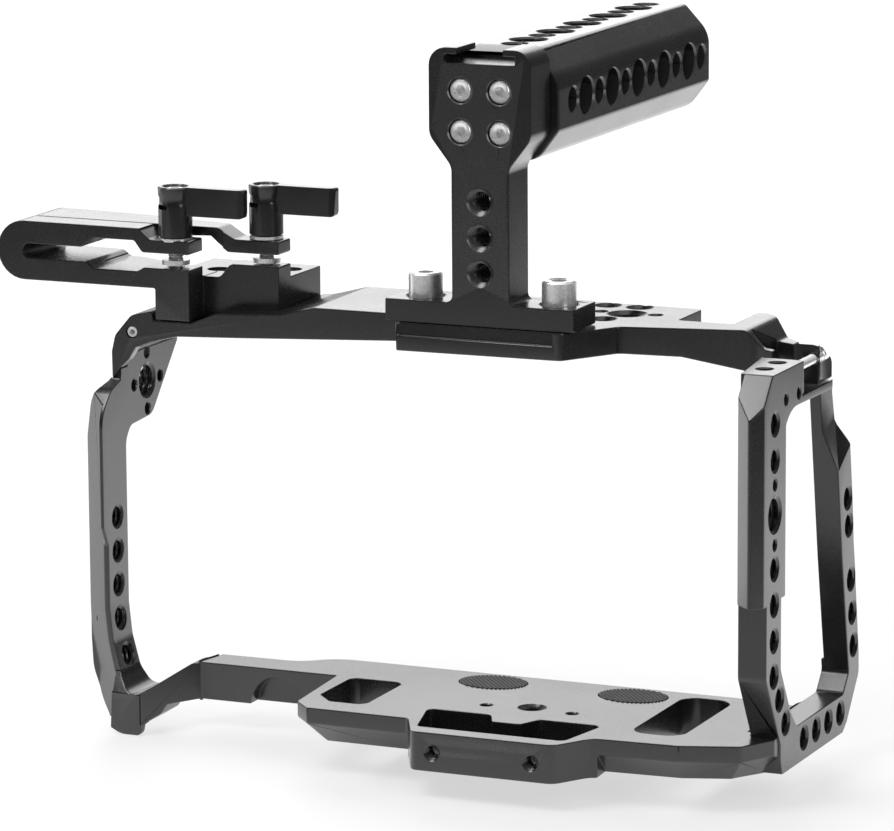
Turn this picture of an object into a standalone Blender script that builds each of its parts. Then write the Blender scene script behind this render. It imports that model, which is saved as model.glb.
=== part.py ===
"""Camera cage with a top handle and a cable clamp.

Millimetres are used for every dimension below; the meshes are written in metres.
+X is to the camera's left, +Y goes from the lens side to the back and +Z is up.
Dimensions are from the tripod hole's axis, at the underside of the base plate. The model's
origin lies a little behind that hole, where the underside is solid.
"""

import math

import bmesh
import bpy
from mathutils import Matrix, Vector

MM = 0.001
HOLE_SIDES = 12
ARC_STEPS = 3
GAP = 0.3
ORIGIN_BEHIND_HOLE = 8.0

# Cage
BASE_TOP = 10.0
RIGHT_IN, RIGHT_OUT = 60.6, 68.1
LEFT_IN, LEFT_OUT = -118.5, -126.7
FOOT_BOTTOM = -7.1
COLUMN_Y = -9.2
TOP_BLOCK = 101.7
QUARTER_INCH = 6.35
THREE_EIGHTHS = 9.5
HOLE_PITCH = 9.0
LOCATING_PITCH = 7.5

# Top plate
PLATE_UNDER, PLATE_TOP = 100.0, 106.9
PLATE_FRONT, PLATE_BACK = 7.9, 42.4

# Handle
HANDLE_X = -12.3
HANDLE_FRONT, HANDLE_BACK = -3.1, 9.4
FOOT_Z = (107.2, 112.8)
FOOT_BACK = 12.6
HEAD_TOP = 176.7
GRIP_Y = (9.7, 115.0)
GRIP_HOLE_Z = 162.0
GRIP_HOLE_PITCH = 17.9
BOLT_SPACING = 36.2
BOLT_Y = 4.4

# Cable clamp
CLAMP_FRONT = 7.9
CLAMP_FLOOR = 100.9
FRONT_AXIS = (-104.2, 12.1)
REAR_AXIS = (-82.3, 20.5)
STUD_DIAMETER = 4.0
FRONT_HUB_Z = 122.3
REAR_HUB_Z = 122.9
HUB_HEIGHT = 13.1
LUG_TOP = 121.7
LUG_UNDER = 118.2


# Modelling kit

def clear_scene():
    for item in list(bpy.data.objects):
        bpy.data.objects.remove(item, do_unlink=True)


def new_collection(name):
    made = bpy.data.collections.new(name)
    bpy.context.scene.collection.children.link(made)
    return made


def principled(name, colour, roughness, metallic):
    made = bpy.data.materials.new(name)
    made.use_nodes = True
    shader = made.node_tree.nodes["Principled BSDF"]
    shader.inputs["Base Color"].default_value = (*colour, 1.0)
    shader.inputs["Roughness"].default_value = roughness
    shader.inputs["Metallic"].default_value = metallic
    made.diffuse_color = (*colour, 1.0)
    return made


def new_reference(name, location, collection):
    """An empty whose place is the tripod hole's, seen from the model's origin; it carries the parts."""
    made = bpy.data.objects.new(name, None)
    made.location = Vector(location) * MM
    collection.objects.link(made)
    return made


def place(name, mesh, collection):
    made = bpy.data.objects.new(name, mesh)
    collection.objects.link(made)
    return made


AXES = {
    "X": Matrix(((0, 0, 1), (1, 0, 0), (0, 1, 0))),
    "Y": Matrix(((1, 0, 0), (0, 0, -1), (0, 1, 0))),
    "Z": Matrix.Identity(3),
}


def prism(name, outlines, axis, low, high):
    """A flat outline, with any holes, swept along an axis from low to high.

    The outline is in (Y, Z) for axis X, in (X, Z) for axis Y and in (X, Y) for axis Z.
    """
    if not isinstance(outlines[0][0], (tuple, list, Vector)):
        outlines = [outlines]
    curve = bpy.data.curves.new(name, "CURVE")
    curve.dimensions = "2D"
    curve.fill_mode = "BOTH"
    curve.extrude = (high - low) / 2 * MM
    for outline in outlines:
        spline = curve.splines.new("POLY")
        spline.points.add(len(outline) - 1)
        for point, (u, v) in zip(spline.points, outline):
            point.co = (u * MM, v * MM, 0, 1)
        spline.use_cyclic_u = True
    flat = place(name, curve, CUTTERS)
    bpy.context.view_layer.update()
    graph = bpy.context.evaluated_depsgraph_get()
    mesh = bpy.data.meshes.new_from_object(flat.evaluated_get(graph))
    bpy.data.objects.remove(flat, do_unlink=True)
    middle = (low + high) / 2 * MM
    along = Vector((0, 0, middle)) if axis != "Y" else Vector((0, 0, -middle))
    body = bmesh.new()
    body.from_mesh(mesh)
    bmesh.ops.remove_doubles(body, verts=body.verts, dist=0.00001)
    bmesh.ops.translate(body, verts=body.verts, vec=along)
    bmesh.ops.transform(body, verts=body.verts, matrix=AXES[axis].to_4x4())
    bmesh.ops.recalc_face_normals(body, faces=body.faces)
    body.to_mesh(mesh)
    body.free()
    mesh.materials.clear()
    return place(name, mesh, CUTTERS)


def rounded(points, radius, steps=None):
    """The outline with arcs for corners; radius is one value, or one per corner with 0 after the last."""
    steps = steps or ARC_STEPS
    sizes = [radius] * len(points) if isinstance(radius, (int, float)) else radius + [0] * len(points)
    made = []
    for index, point in enumerate(points):
        size = sizes[index]
        corner = Vector(point)
        before = Vector(points[index - 1]) - corner
        after = Vector(points[(index + 1) % len(points)]) - corner
        turn = before.angle(after)
        if size <= 0 or turn > math.radians(176):
            made.append(tuple(corner))
            continue
        reach = min(size / math.tan(turn / 2), before.length * 0.49, after.length * 0.49)
        size = reach * math.tan(turn / 2)
        middle = corner + (before.normalized() + after.normalized()).normalized() * (
            size / math.sin(turn / 2))
        start = corner + before.normalized() * reach - middle
        finish = corner + after.normalized() * reach - middle
        sweep = start.angle_signed(finish)
        for step in range(steps + 1):
            angle = math.atan2(start.y, start.x) - sweep * step / steps
            made.append((middle.x + size * math.cos(angle), middle.y + size * math.sin(angle)))
    return made


def turned(name, profile, sides):
    """A solid of revolution about Z from (radius, height) points, bottom to top."""
    body = bmesh.new()
    points = [(0.0, profile[0][1])] + list(profile) + [(0.0, profile[-1][1])]
    chain = [body.verts.new((r * MM, 0, z * MM)) for r, z in points]
    edges = [body.edges.new(pair) for pair in zip(chain, chain[1:])]
    bmesh.ops.spin(body, geom=edges + chain, cent=(0, 0, 0), axis=(0, 0, 1),
                   angle=2 * math.pi, steps=sides, use_merge=True)
    bmesh.ops.remove_doubles(body, verts=body.verts, dist=0.00001)
    bmesh.ops.recalc_face_normals(body, faces=body.faces)
    mesh = bpy.data.meshes.new(name)
    body.to_mesh(mesh)
    body.free()
    return place(name, mesh, CUTTERS)


def rod(name, start, direction, diameter, length, sides=None):
    """A cylinder that starts at a point and runs along a direction."""
    body = bmesh.new()
    bmesh.ops.create_cone(body, cap_ends=True, segments=sides or HOLE_SIDES, depth=length * MM,
                          radius1=diameter / 2 * MM, radius2=diameter / 2 * MM)
    way = Vector(direction).normalized()
    bmesh.ops.translate(body, verts=body.verts, vec=(0, 0, length / 2 * MM))
    bmesh.ops.rotate(body, verts=body.verts, cent=(0, 0, 0),
                     matrix=way.to_track_quat("Z", "Y").to_matrix())
    bmesh.ops.translate(body, verts=body.verts, vec=Vector(start) * MM)
    mesh = bpy.data.meshes.new(name)
    body.to_mesh(mesh)
    body.free()
    return place(name, mesh, CUTTERS)


def box(name, low, high):
    body = bmesh.new()
    bmesh.ops.create_cube(body, size=1)
    bmesh.ops.scale(body, verts=body.verts, vec=(Vector(high) - Vector(low)) * MM)
    bmesh.ops.translate(body, verts=body.verts, vec=(Vector(high) + Vector(low)) / 2 * MM)
    mesh = bpy.data.meshes.new(name)
    body.to_mesh(mesh)
    body.free()
    return place(name, mesh, CUTTERS)


def hull(name, points):
    """The convex solid around a few points."""
    body = bmesh.new()
    for point in points:
        body.verts.new(Vector(point) * MM)
    bmesh.ops.convex_hull(body, input=body.verts)
    bmesh.ops.recalc_face_normals(body, faces=body.faces)
    mesh = bpy.data.meshes.new(name)
    body.to_mesh(mesh)
    body.free()
    return place(name, mesh, CUTTERS)


def edge_wedge(start, finish):
    """What the lower chamfer takes off under one straight edge of the base plate."""
    run = (Vector(finish) - Vector(start)).normalized()
    outward = Vector((run.y, -run.x))
    section = [(-7.6, -1.0), (1.0, -1.0), (1.0, 6.9)]
    return hull("wedge", [(*(Vector(end) + outward * across), z) for end in (start, finish)
                          for across, z in section])


def combine(target, other, operation):
    """Changes the target's mesh by a Boolean with the other object, which is then removed."""
    modifier = target.modifiers.new(operation.title(), "BOOLEAN")
    modifier.operation = operation
    modifier.solver = "EXACT"
    modifier.object = other
    bpy.context.view_layer.update()
    graph = bpy.context.evaluated_depsgraph_get()
    mesh = bpy.data.meshes.new_from_object(target.evaluated_get(graph))
    target.modifiers.clear()
    target.data = mesh
    bpy.data.objects.remove(other, do_unlink=True)
    return target


def add(target, *others):
    for other in others:
        combine(target, other, "UNION")
    return target


def cut(target, *others):
    for other in others:
        combine(target, other, "DIFFERENCE")
    return target


def common(target, other):
    return combine(target, other, "INTERSECT")


def finish(item, name, material, origin=(0, 0, 0)):
    """Names the finished piece, gives it its material and moves its origin."""
    item.name = name
    item.data.name = name
    item.data.materials.clear()
    item.data.materials.append(material)
    body = bmesh.new()
    body.from_mesh(item.data)
    bmesh.ops.remove_doubles(body, verts=body.verts, dist=0.000002)
    bmesh.ops.dissolve_limit(body, angle_limit=math.radians(0.5), verts=body.verts, edges=body.edges)
    bmesh.ops.translate(body, verts=body.verts, vec=-Vector(origin) * MM)
    body.to_mesh(item.data)
    body.free()
    item.location = Vector(origin) * MM
    item.parent = TRIPOD_HOLE
    item.data.shade_smooth()
    item.data.set_sharp_from_angle(angle=math.radians(35))
    CUTTERS.objects.unlink(item)
    PARTS.objects.link(item)
    return item


# Lower frame: base plate, right loop and left column, machined as one piece

BASE_OUTLINE = [
    (-18.9, -33.1), (19.3, -33.1), (25.6, -23.0), (47.9, -21.8), (62.4, -16.8), (67.6, -7.4),
    (67.6, 26.3), (44.1, 28.9), (-66.9, 29.4), (-75.5, 22.5), (-97.5, 22.2), (-99.5, 12.2),
    (-59.9, 12.2), (-59.7, 9.6), (-57.9, -15.9), (-52.8, -21.4), (-24.6, -21.6),
]
BASE_RADII = [2.5, 4, 5, 2, 2, 1, 0, 4, 14, 10, 0, 0, 0, 0, 1, 1, 2]


def base_plate():
    plate = prism("base", rounded(BASE_OUTLINE, BASE_RADII), "Z", 0, BASE_TOP)
    for start, finish in (((-59.8, 11.0), (-57.9, -16.9)), ((-58.9, -14.9), (-51.8, -22.4)),
                          ((-54.0, -21.4), (-24.4, -21.6)), ((27.0, -23.0), (49.0, -21.8)),
                          ((45.0, -22.8), (64.0, -16.2)), ((61.0, -19.2), (70.0, -3.0))):
        cut(plate, edge_wedge(start, finish))
    left_pocket = rounded([(-55.3, -7.6), (-50.0, -13.2), (-40.5, -13.2), (-40.5, 11.5), (-55.3, 11.5)],
                          [1.5, 1.5, 2.5, 2.5, 2.5])
    right_pocket = rounded([(31.6, -13.4), (45.1, -13.4), (45.1, 24.9), (31.6, 24.9)], 4.5)
    cut(plate, prism("left_pocket", left_pocket, "Z", -1, 11))
    cut(plate, prism("right_pocket", right_pocket, "Z", -1, 11))
    tool_pocket = rounded([(-19.4, -27.9), (19.9, -27.9), (23.2, -10.6), (6.4, -10.6), (3.6, -16.8),
                           (-3.9, -16.8), (-6.7, -10.6), (-24.1, -10.6)], 1.8)
    cut(plate, prism("tool_pocket", tool_pocket, "Z", 3.2, 11))
    cut(plate, rod("tripod_hole", (0, 0, -1), (0, 0, 1), QUARTER_INCH, 12))
    for side in (-1, 1):
        cut(plate, rod("locating_hole", (side * 11.7, -1.9, 6), (0, 0, 1), 3.0, 5),
            rod("pad_seat", (side * 19.75, 20.4, 9.4), (0, 0, 1), 17.6, 2, 24),
            rod("rod_mount_hole", (side * 13.2, -34, 4.9), (0, 1, 0), 4.2, 10.9))
    cut(plate, rod("bar_relief", (-76.4, 11, -0.3), (0, 1, 0), 16.4, 5.6, 24))
    return plate


RIGHT_LOOP = [
    (-3.0, 0.0), (42.0, 0.0), (45.1, 2.1), (54.1, 13.2), (53.9, 19.0), (49.3, 48.7), (46.0, 75.3),
    (42.6, 88.0), (42.6, 89.9), (32.0, 93.2), (11.2, 93.2), (11.2, TOP_BLOCK + 1), (-10.9, TOP_BLOCK + 1),
    (-16.0, 92.0), (-14.8, 26.4), (-4.3, 8.0), (-4.3, 4.0),
]
RIGHT_WINDOW = [
    (3.2, 14.6), (7.6, 10.05), (42.0, 10.05), (46.3, 14.9), (44.6, 23.7), (40.6, 45.3), (33.4, 90.9),
    (-1.4, 91.3), (-1.4, 48.5), (-4.1, 44.5), (-4.1, 27.0),
]


def right_loop():
    window = rounded(RIGHT_WINDOW, [3, 3, 2, 2, 0, 0, 1, 8, 1, 1, 4])
    loop = prism("loop", [rounded(RIGHT_LOOP, [1, 1, 3, 4, 0, 0, 0, 0, 1, 0, 0, 0, 1, 0, 3, 2, 1]), window],
                 "X", RIGHT_IN, RIGHT_OUT)
    half_flat, half_wide, half_root = 7.75, 10.4, 6.1
    rail = [(RIGHT_IN, -half_root), (64.9, -half_wide), (65.5, -half_wide), (RIGHT_OUT, -half_flat),
            (RIGHT_OUT, half_flat), (65.5, half_wide), (64.9, half_wide), (RIGHT_IN, half_root)]
    add(loop, prism("rail", [(x, y + COLUMN_Y) for x, y in rail], "Z", 45.0, TOP_BLOCK + 1))
    block = [(59.6, -10.9), (RIGHT_OUT, -11.2), (RIGHT_OUT, 10.9), (56.8, 10.9)]
    add(loop, prism("block", block, "Z", 93.4, TOP_BLOCK + 1))
    slope = [(-30, 70.0), (-27.0, 80.0), (-11.0, TOP_BLOCK), (20, TOP_BLOCK), (20, 105), (-30, 105)]
    cut(loop, prism("top_slope", slope, "X", 55, 72))
    cut(loop, hull("scoop", [(68.3, 37.0, 68.2), (68.3, 46.6, 74.4), (64.4, 37.6, 79.0), (64.4, 46.0, 81.0),
                             (64.4, 32.4, 79.0), (68.3, 32.4, 68.2), (64.4, 46.0, 93.0),
                             (64.4, 32.4, 93.0), (72.0, 32.4, 93.0), (72.0, 46.6, 93.0),
                             (72.0, 32.4, 68.2), (72.0, 46.6, 74.4)]))
    cut(loop, box("thinner_rear", (55, 33.6, 18.0), (61.3, 60, 91.3)))
    return loop


def right_holes(frame):
    def through(y, z, diameter=QUARTER_INCH):
        cut(frame, rod("hole", (58, y, z), (1, 0, 0), diameter, 12))

    for z in (26.4, 35.4, 44.4, 53.4, 80.4, 89.4):
        through(COLUMN_Y, z)
    through(COLUMN_Y, 66.9, THREE_EIGHTHS)
    for z in (66.9 - LOCATING_PITCH, 66.9 + LOCATING_PITCH):
        through(COLUMN_Y, z, 3.4)
    through(-5.1, 19.7)
    through(-0.6, 12.7)
    through(-1.6, 94.2, 3.4)
    through(7.5, 94.2, 3.4)
    for index in range(4):
        through(12.9 + index * HOLE_PITCH, 5.7)
    for y, z in ((44.4, 60.6), (45.4, 53.4), (47.3, 39.0), (48.5, 30.1), (49.7, 21.4)):
        through(y, z)
    for y in (-3.2, 5.9):
        cut(frame, rod("top_hole", (63.0, y, 95), (0, 0, 1), 4.2, 8))
    cut(frame, rod("screw_seat", (*JOINT_RIGHT[:1], 1.5, JOINT_RIGHT[1]), (0, 1, 0), 2.9, 12))


COLUMN_SIDE = [
    (-2.6, FOOT_BOTTOM - 1), (-4.1, FOOT_BOTTOM - 1), (-4.1, 4.0), (-1.0, 9.0), (-1.0, 42.0), (-3.5, 47.0), (-3.5, 77.0),
    (2.0, 85.3), (7.6, 89.4), (12.0, 90.4), (40.9, 90.4), (40.9, 89.5), (25.5, 73.2), (13.0, 72.4),
    (10.2, 69.0), (10.2, -1.0), (-1.0, -4.2),
]
COLUMN_FRONT = [
    (LEFT_IN, 91.0), (LEFT_IN, 25.0), (-117.6, 16.5), (-115.4, 8.2), (-112.4, 4.2), (-108.5, 3.6),
    (-108.5, FOOT_BOTTOM), (-114.5, FOOT_BOTTOM), (-119.0, -4.8), (-123.6, 0.5), (-126.3, 8.0),
    (LEFT_OUT, 16.0), (LEFT_OUT, 74.0), (-125.0, 80.5), (-120.9, 87.0), (-120.9, 91.0),
]


def left_column():
    side = rounded(COLUMN_SIDE, [0, 0, 1, 1, 1, 1, 10, 8, 8, 0, 1, 2, 5, 3, 5, 1, 0])
    column = prism("column", side, "X", LEFT_OUT - 1, -100)
    front = rounded(COLUMN_FRONT, [0, 20, 10, 6, 4, 1, 1.5, 6, 10, 14, 14, 14, 10, 10, 4, 0])
    common(column, prism("column_front", front, "Y", -10, 45))
    facet = [(-131, -6), (-119.4, -6), (-119.6, -1.2), (-126.9, 3.9), (-131, 3.9)]
    cut(column, prism("facet", facet, "Z", -12, 95))
    plan = [(-110, -4.1), (-108.5, -4.1), (-98.8, 12.25), (-94, 12.25), (-94, 22.1), (-97.5, 20.9),
            (-101.5, 15.8), (-107.5, 10.0), (-110, 10.0)]
    arm = prism("arm", plan, "Z", -8, 12)
    ramp = [(-110, 3.8), (-108.9, 3.9), (-100.4, 9.95), (-93, 9.95), (-93, 0.05), (-104.4, 0.05),
            (-105.4, -2.2), (-108.4, -4.2), (-110, -4.2)]
    common(arm, prism("arm_front", ramp, "Y", -10, 30))
    add(column, arm)
    for index in range(4):
        cut(column, rod("hole", (-124.2, 4.4, 21.8 + index * HOLE_PITCH), (1, 0, 0), QUARTER_INCH, 8))
    cut(column, rod("hole", (-122.6, 5.0, 10.6), (1, 0, 0.25), QUARTER_INCH, 12))
    lobe = (22.7, 81.7)
    cut(column, rod("lobe_hole", (-130, *lobe), (1, 0, 0), THREE_EIGHTHS, 16))
    for dy, dz in ((0, 1), (0, -1), (1, 0), (-1, 0)):
        start = (-120.5, lobe[0] + dy * LOCATING_PITCH, lobe[1] + dz * LOCATING_PITCH)
        cut(column, rod("pin_hole", start, (1, 0, 0), 3.0, 5))
    return column


def lower_frame():
    frame = add(base_plate(), right_loop(), left_column())
    right_holes(frame)
    finish(frame, "lower_frame", ALUMINIUM)


# Top plate

PLATE_PROFILE = [
    (-121.4, 90.8), (-121.2, 91.7), (-120.3, 96.0), (-115.5, 101.6), (-109.5, 103.0), (-109.0, 100.6),
    (-98.2, 100.6), (-91.5, 103.4), (-73.0, 104.4), (-63.5, PLATE_TOP), (50.3, PLATE_TOP),
    (54.6, 102.4), (59.5, 101.8), (61.5, 103.6), (RIGHT_OUT, 103.6), (RIGHT_OUT, 93.6), (60.5, 93.6),
    (51.6, 96.2), (34.4, 99.6),
    (19.0, PLATE_UNDER), (-41.0, 99.7), (-84.2, 97.5), (-102.3, 96.7), (-109.0, 94.9), (-114.0, 90.8),
]
PLATE_PLAN = [
    (-121.6, PLATE_FRONT), (-36.8, PLATE_FRONT), (-35.2, -4.1), (9.6, -4.1), (19.3, 10.9), (53.0, 18.5),
    (57.3, 17.6), (57.3, 20.4), (50.2, 20.4), (54.2, 29.8), (61.0, 29.8), (61.0, 22.2),
    (RIGHT_OUT, 22.2), (RIGHT_OUT, 33.0), (58.5, 33.3), (47.0, 42.8), (44.1, 42.4), (44.1, 25.2), (29.4, 25.2), (29.4, PLATE_BACK), (-90.0, PLATE_BACK), (-104.0, 39.9), (-121.6, 39.9),
]


def top_plate():
    plate = prism("plate", rounded(PLATE_PROFILE, [0, 0, 4, 3, 0.5, 0.3, 3, 3, 3, 3, 2, 1, 3, 2, 1, 2]),
                  "Y", -10, 50)
    plan = rounded(PLATE_PLAN, [0, 0.5, 1, 2, 3, 2, 0, 1, 1, 1, 1, 0.5, 0.5, 2, 4, 1, 0.5, 1, 1, 1, 0, 0, 1])
    common(plate, prism("plan", plan, "Z", 80, 120))
    seat = [(-109.0, 6.0), (-98.2, 6.0), (-98.2, 15.6), (-76.6, 15.6), (-76.6, 43.0), (-109.0, 43.0)]
    cut(plate, prism("clamp_seat", seat, "Z", 100.6, 110))
    cut(plate, prism("boss_step", [(-36.4, -6), (7.8, -6), (6.9, -3.1), (-34.4, -3.1)], "Z", 103.6, 110))
    for x, y, size in ((5.1, 38.8, QUARTER_INCH), (13.8, 38.9, QUARTER_INCH), (14.2, 29.0, THREE_EIGHTHS),
                       (6.7, 29.9, 3.4), (21.6, 29.9, 3.4), (11.3, 20.1, QUARTER_INCH)):
        cut(plate, rod("hole", (x, y, 95), (0, 0, 1), size, 15))
    for side in (-1, 1):
        x = HANDLE_X + side * BOLT_SPACING / 2
        cut(plate, rod("bolt_seat", (x, BOLT_Y, 95), (0, 0, 1), 5.6, 15))
    lug_back = [(33.1, 94.2), (31.5, 99.0), (27.5, 102.2), (22.4, 103.5), (20, 106), (45, 106), (45, 94.2)]
    cut(plate, prism("lug_back", lug_back, "X", 60.9, 70))
    for (x, z), front, length in ((JOINT_LEFT, 7.0, 9), (JOINT_RIGHT, 20.0, 20)):
        cut(plate, rod("joint_seat", (x, front, z), (0, 1, 0), 3.3, length))
    for x, y in CLAMP_SCREWS:
        cut(plate, rod("clamp_screw_seat", (x, y, 95), (0, 0, 1), 3.6, 10))
    finish(plate, "top_plate", ALUMINIUM)


def socket_screw(name, head, shank, head_height, length, origin, towards, material, socket):
    """A cap screw; origin is the underside of its head and towards is the way its head points."""
    screw = turned(name, [(shank / 2, -length), (shank / 2, 0), (head / 2, 0), (head / 2, head_height)],
                   HOLE_SIDES)
    cut(screw, rod("socket", (0, 0, head_height * 0.45), (0, 0, 1), socket, head_height, 6))
    way = Vector(towards).to_track_quat("Z", "Y").to_matrix().to_4x4()
    screw.data.transform(Matrix.Translation(Vector(origin) * MM) @ way)
    finish(screw, name, material, origin)


# Handle

def handle_stem():
    x = HANDLE_X
    outline = [
        (x - 26.1, FOOT_Z[0]), (x + 25.0, FOOT_Z[0]), (x + 25.0, FOOT_Z[1]), (x + 7.8, FOOT_Z[1]),
        (x + 7.8, 147.0), (x + 13.8, 154.6), (x + 13.8, HEAD_TOP), (x - 13.8, HEAD_TOP),
        (x - 13.8, 154.6), (x - 7.8, 147.0), (x - 7.8, FOOT_Z[1]), (x - 26.1, FOOT_Z[1]),
    ]
    radii = [0.5, 0.5, 0.5, 1.6, 4, 5, 4.6, 4.6, 5, 4, 1.6, 0.5]
    stem = prism("stem", rounded(outline, radii), "Y", HANDLE_FRONT, HANDLE_BACK)
    foot = rounded([(x - 26.1, HANDLE_FRONT), (x + 25.0, HANDLE_FRONT), (x + 25.0, FOOT_BACK),
                    (x - 26.1, FOOT_BACK)], 1.6)
    add(stem, prism("foot", foot, "Z", *FOOT_Z))
    shoe = [(x - 9.4, 172.9), (x + 9.4, 172.9), (x + 9.4, 175.0), (x + 6.2, 175.0), (x + 6.2, 180),
            (x - 6.2, 180), (x - 6.2, 175.0), (x - 9.4, 175.0)]
    cut(stem, prism("shoe", shoe, "Y", -10, 20))
    for z in (120.5, 129.5, 138.5):
        cut(stem, rod("stem_hole", (x, -5, z), (0, 1, 0), QUARTER_INCH, 20))
    for side in (-1, 1):
        bolt_x = x + side * BOLT_SPACING / 2
        cut(stem, rod("bolt_hole", (bolt_x, BOLT_Y, 105), (0, 0, 1), 5.6, 10),
            rod("bolt_recess", (bolt_x, BOLT_Y, FOOT_Z[1] - 1.2), (0, 0, 1), 9.6, 3, 16))
    for screw_x, screw_z in GRIP_SCREWS:
        cut(stem, rod("screw_hole", (screw_x, -5, screw_z), (0, 1, 0), 3.6, 20),
            rod("screw_recess", (screw_x, -5, screw_z), (0, 1, 0), 6.4, 4.4, 16))
    finish(stem, "handle_stem", ALUMINIUM)


def handle_grip():
    x = HANDLE_X
    half = 15.9
    outline = [(x - 10, 147.5), (x + 10, 147.5), (x + half, 155.2), (x + half, 168.0),
               (x + 9.0, HEAD_TOP - 0.2), (x - 9.0, HEAD_TOP - 0.2), (x - half, 168.0), (x - half, 155.2)]
    grip = prism("grip", rounded(outline, [6, 6, 2, 8, 2, 2, 8, 2]), "Y", *GRIP_Y)
    cut(grip, rod("bore", (x, GRIP_Y[0] + 12, 160.5), (0, 1, 0), 19, 110, 16))
    for index in range(5):
        y = 28.5 + index * GRIP_HOLE_PITCH
        cut(grip, rod("side_hole", (x - 20, y, GRIP_HOLE_Z), (1, 0, 0), THREE_EIGHTHS, 40),
            rod("top_hole", (x, y, 165), (0, 0, 1), THREE_EIGHTHS, 20))
    for index in range(6):
        y = 19.6 + index * GRIP_HOLE_PITCH
        cut(grip, rod("side_hole", (x - 20, y, GRIP_HOLE_Z), (1, 0, 0), QUARTER_INCH, 40),
            rod("top_hole", (x, y, 165), (0, 0, 1), QUARTER_INCH, 20))
    for screw_x, screw_z in GRIP_SCREWS:
        cut(grip, rod("screw_seat", (screw_x, 9, screw_z), (0, 1, 0), 3.6, 9))
    finish(grip, "handle_grip", ALUMINIUM)


# Cable clamp

HAIRPIN = [
    (-154.0, 109.0), (-108.4, 109.0), (-108.4, CLAMP_FLOOR), (-77.0, CLAMP_FLOOR), (-77.0, 115.2),
    (-90.8, 115.2), (-93.8, 111.6), (-98.2, 111.6), (-98.2, 114.3), (-111.5, 114.3), (-113.5, 113.2),
    (-126.0, 113.2), (-128.4, 114.8), (-146.6, 114.8), (-146.6, 118.6), (-129.6, 118.6),
    (-126.0, 121.2), (-114.3, 121.2), (-112.0, LUG_UNDER), (-98.2, LUG_UNDER), (-96.8, 122.0),
    (-91.5, LUG_UNDER), (-77.0, LUG_UNDER), (-77.0, LUG_TOP), (-89.5, LUG_TOP), (-94.6, 124.4),
    (-154.0, 124.6),
]
HAIRPIN_RADII = [7.8, 0.5, 0.3, 0.5, 0.5, 2, 2, 0, 0, 1, 1, 1, 2, 1.9, 1.9, 1, 2, 1, 1, 0, 0, 1, 0.5, 0.5,
                 2, 3, 7.8]


def clamp_body():
    body = prism("hairpin", rounded(HAIRPIN, HAIRPIN_RADII), "Y", CLAMP_FRONT, 44.6)
    front = rounded([(-113.4, 130), (-112.6, 124.0), (-109.8, LUG_TOP), (-98.6, LUG_TOP), (-98.6, 98),
                     (-70, 98), (-70, 130)], [0, 1, 1.5, 0.5])
    cut(body, prism("front_cut", front, "Y", 5, 16.3))
    cut(body, prism("under_rear_arm", [(-118, 121.0), (-96.6, 122.1), (-93.6, 119.6), (-93.6, 116.5),
                                       (-118, 116.5)], "Y", 16.6, 50))
    cut(body, prism("behind_post", [(-110.9, 116), (-107.4, 111.9), (-97, 111.7), (-97, 116)], "Y", 16.3, 50))
    plan = [(-156, 5.0), (-75.0, 5.0), (-75.0, 41.9), (-108.0, 41.9), (-108.0, 28.5), (-118.6, 29.3),
            (-156, 32.6)]
    common(body, prism("rear_plan", plan, "Z", 90, 130))
    upper = [(-118.6, 29.35), (-90.5, 23.8), (-70, 23.8), (-70, 50), (-118.6, 50)]
    cut(body, prism("upper_back", upper, "Z", 116, 130))
    cut(body, box("low_block", (-93.4, 23.8, 111.7), (-70, 50, 117)))
    cut(body, box("split", (-146.8, 16.25, 116.7), (-93, 16.9, 130)))
    for centre in (FRONT_AXIS, REAR_AXIS):
        cut(body, rod("stud_hole", (*centre, 103.5), (0, 0, 1), STUD_DIAMETER + 2 * GAP, 25))
    for x, y in CLAMP_SCREWS:
        cut(body, rod("screw_hole", (x, y, 95), (0, 0, 1), 3.8, 30),
            rod("screw_recess", (x, y, 108.5), (0, 0, 1), 6.6, 6, 16))
    finish(body, "clamp_body", ALUMINIUM)


def clamp_lever(name, axis, hub_z):
    """The hub with its arm; the origin is on the stud's axis at the underside of the hub."""
    hub = turned(name, [(4.4, 0), (4.4, 8), (4.6, 9), (4.6, HUB_HEIGHT)], 20)
    outline = rounded([(2.5, 5.6), (19.6, 5.6), (20.1, HUB_HEIGHT), (2.5, HUB_HEIGHT)], [0, 0.8, 0.8, 0])
    arm = prism("arm", outline, "Y", -1.8, 1.8)
    add(hub, arm)
    cut(hub, rod("stud_bore", (0, 0, -1), (0, 0, 1), STUD_DIAMETER + 2 * GAP, 10),
        rod("cap_seat", (0, 0, HUB_HEIGHT - 2.2), (0, 0, 1), 6.4, 5, 16))
    hub.data.transform(Matrix.Translation(Vector((*axis, hub_z)) * MM))
    finish(hub, name, ALUMINIUM, (*axis, hub_z))


def clamp_stud(name, axis, hub_z):
    stud = turned(name, [(2.0, -15.5), (2.0, 8.6)], HOLE_SIDES)
    stud.data.transform(Matrix.Translation(Vector((*axis, hub_z)) * MM))
    finish(stud, name, STEEL, (*axis, hub_z))


def disc(name, diameter, height, origin, material, sides=24):
    made = rod(name, origin, (0, 0, 1), diameter, height, sides)
    finish(made, name, material, origin)


JOINT_LEFT = (-116.2, 96.6)
JOINT_RIGHT = (66.2, 100.0)
GRIP_SCREWS = [(HANDLE_X + side * 5.25, z) for z in (166.1, 155.8) for side in (-1, 1)]
CLAMP_SCREWS = [(-99.0, 27.0), (-82.0, 33.5)]

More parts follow.
